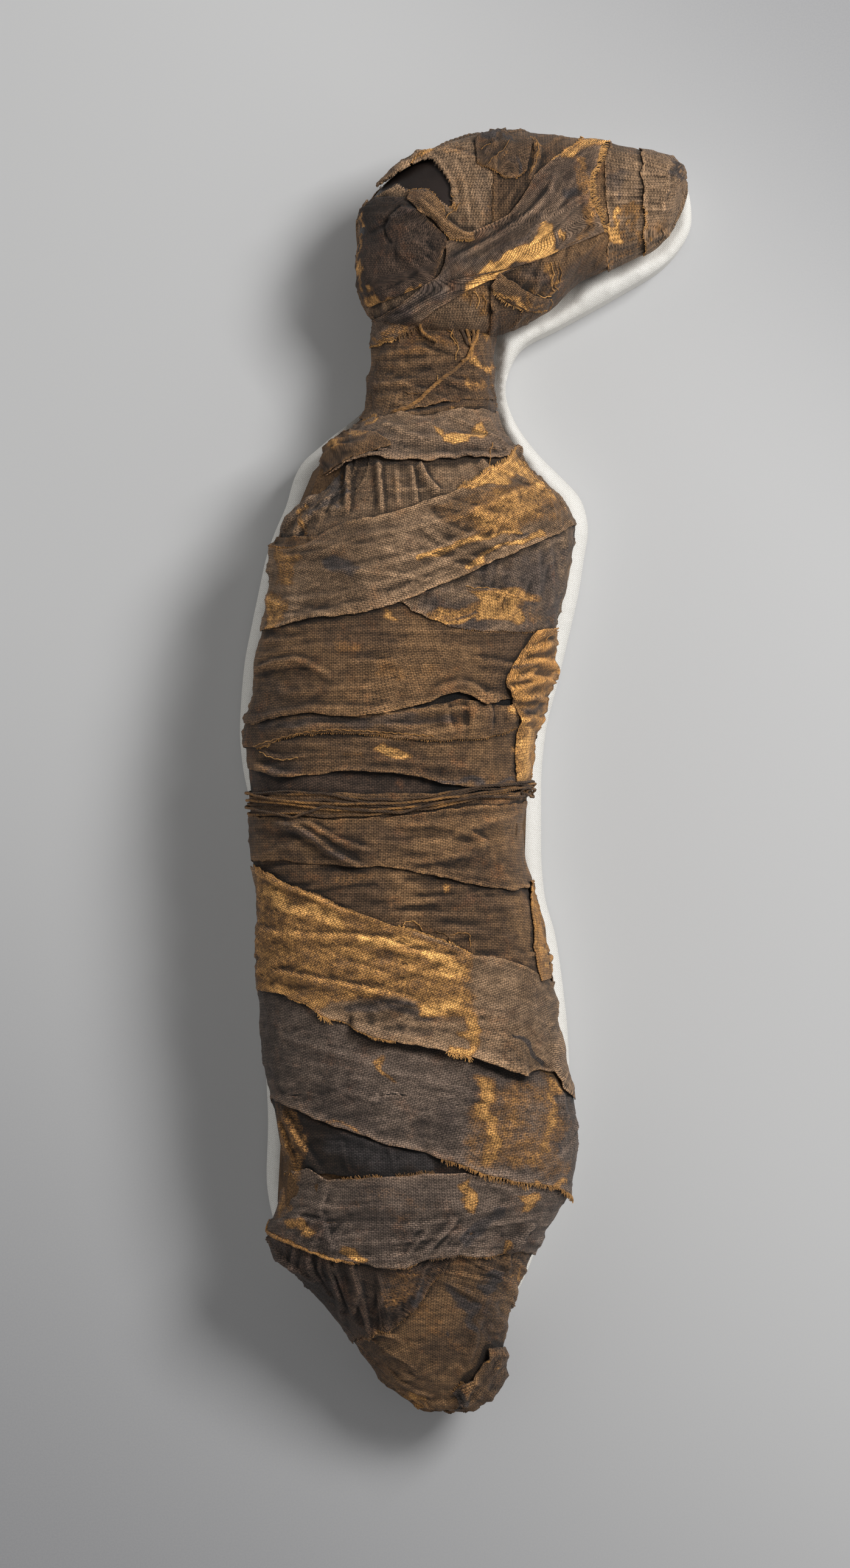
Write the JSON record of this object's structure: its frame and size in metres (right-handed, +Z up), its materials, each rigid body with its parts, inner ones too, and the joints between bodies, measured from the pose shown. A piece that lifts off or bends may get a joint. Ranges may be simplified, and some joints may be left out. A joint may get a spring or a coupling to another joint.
{
  "type": "wrapped animal mummy on fitted support",
  "caption": "Canine mummy wrapped in crossing linen bandages, head turned in profile, lying in a padded linen-covered support cut to its outline",
  "frame": {"origin": "centre of the footprint of the whole object, on the underside of the support's base board", "axes": "+Y runs from the foot end to the head, +X is the way the muzzle points, +Z is up, out of the wrapped front"},
  "size_m": [0.286, 0.8018, 0.1586],
  "materials": {
    "brown_linen": "aged brown linen with a fine plain weave",
    "dark_linen": "dark grey-brown stained linen with a fine plain weave",
    "ochre_linen": "golden ochre linen with darker stains",
    "inner_linen": "plain brown linen",
    "linen_cord": "twisted linen strands",
    "dried_skin": "smooth dark dried skin",
    "cover_linen": "fine white linen",
    "foam": "carved padding",
    "board": "stiff board"
  },
  "bodies": {
    "support": {"support_board": "board", "support_padding": "foam", "support_cover": "cover_linen"},
    "mummy": {"crown_wrap": "brown_linen", "muzzle_wrap": "brown_linen", "nose_wrap": "brown_linen", "folded_strip": "brown_linen", "neck_wrap_upper": "brown_linen", "chest_linen": "brown_linen", "shoulder_sash": "brown_linen", "chest_wrap": "brown_linen", "waist_wrap_upper": "brown_linen", "waist_wrap_lower": "brown_linen", "upper_torso_wrap": "brown_linen", "mid_torso_wrap": "brown_linen", "thigh_wrap": "brown_linen", "foot_wrap": "brown_linen", "cheek_wrap": "dark_linen", "nape_patch": "dark_linen", "brow_patch": "dark_linen", "neck_wrap_lower": "dark_linen", "chest_panel": "dark_linen", "hip_band": "dark_linen", "underlap_wrap": "dark_linen", "heel_wrap": "dark_linen", "foot_end_flap": "dark_linen", "cheek_band": "ochre_linen", "jaw_band": "ochre_linen", "collar_wrap": "ochre_linen", "left_shoulder_fold": "ochre_linen", "side_cloth": "ochre_linen", "ochre_wrap": "ochre_linen", "side_strip": "ochre_linen", "rolled_hem": "ochre_linen", "head_packing_upper": "inner_linen", "head_packing_lower": "inner_linen", "chest_packing_upper": "inner_linen", "chest_packing_lower": "inner_linen", "hip_packing_upper": "inner_linen", "hip_packing_lower": "inner_linen", "head_shroud": "inner_linen", "neck_shroud": "inner_linen", "trunk_shroud": "inner_linen", "waist_cord": "linen_cord", "neck_tie": "linen_cord", "skull": "dried_skin", "lower_jaw": "dried_skin", "dried_neck": "dried_skin", "dried_trunk": "dried_skin", "left_foreleg": "dried_skin", "right_foreleg": "dried_skin", "left_hindleg": "dried_skin", "right_hindleg": "dried_skin", "tail": "dried_skin"}
  },
  "joints": [
    {"name": "lift_off", "type": "slide", "parent": "support", "child": "mummy", "axis": [0, 0, 1], "range_m": [0, 0.2]}
  ]
}
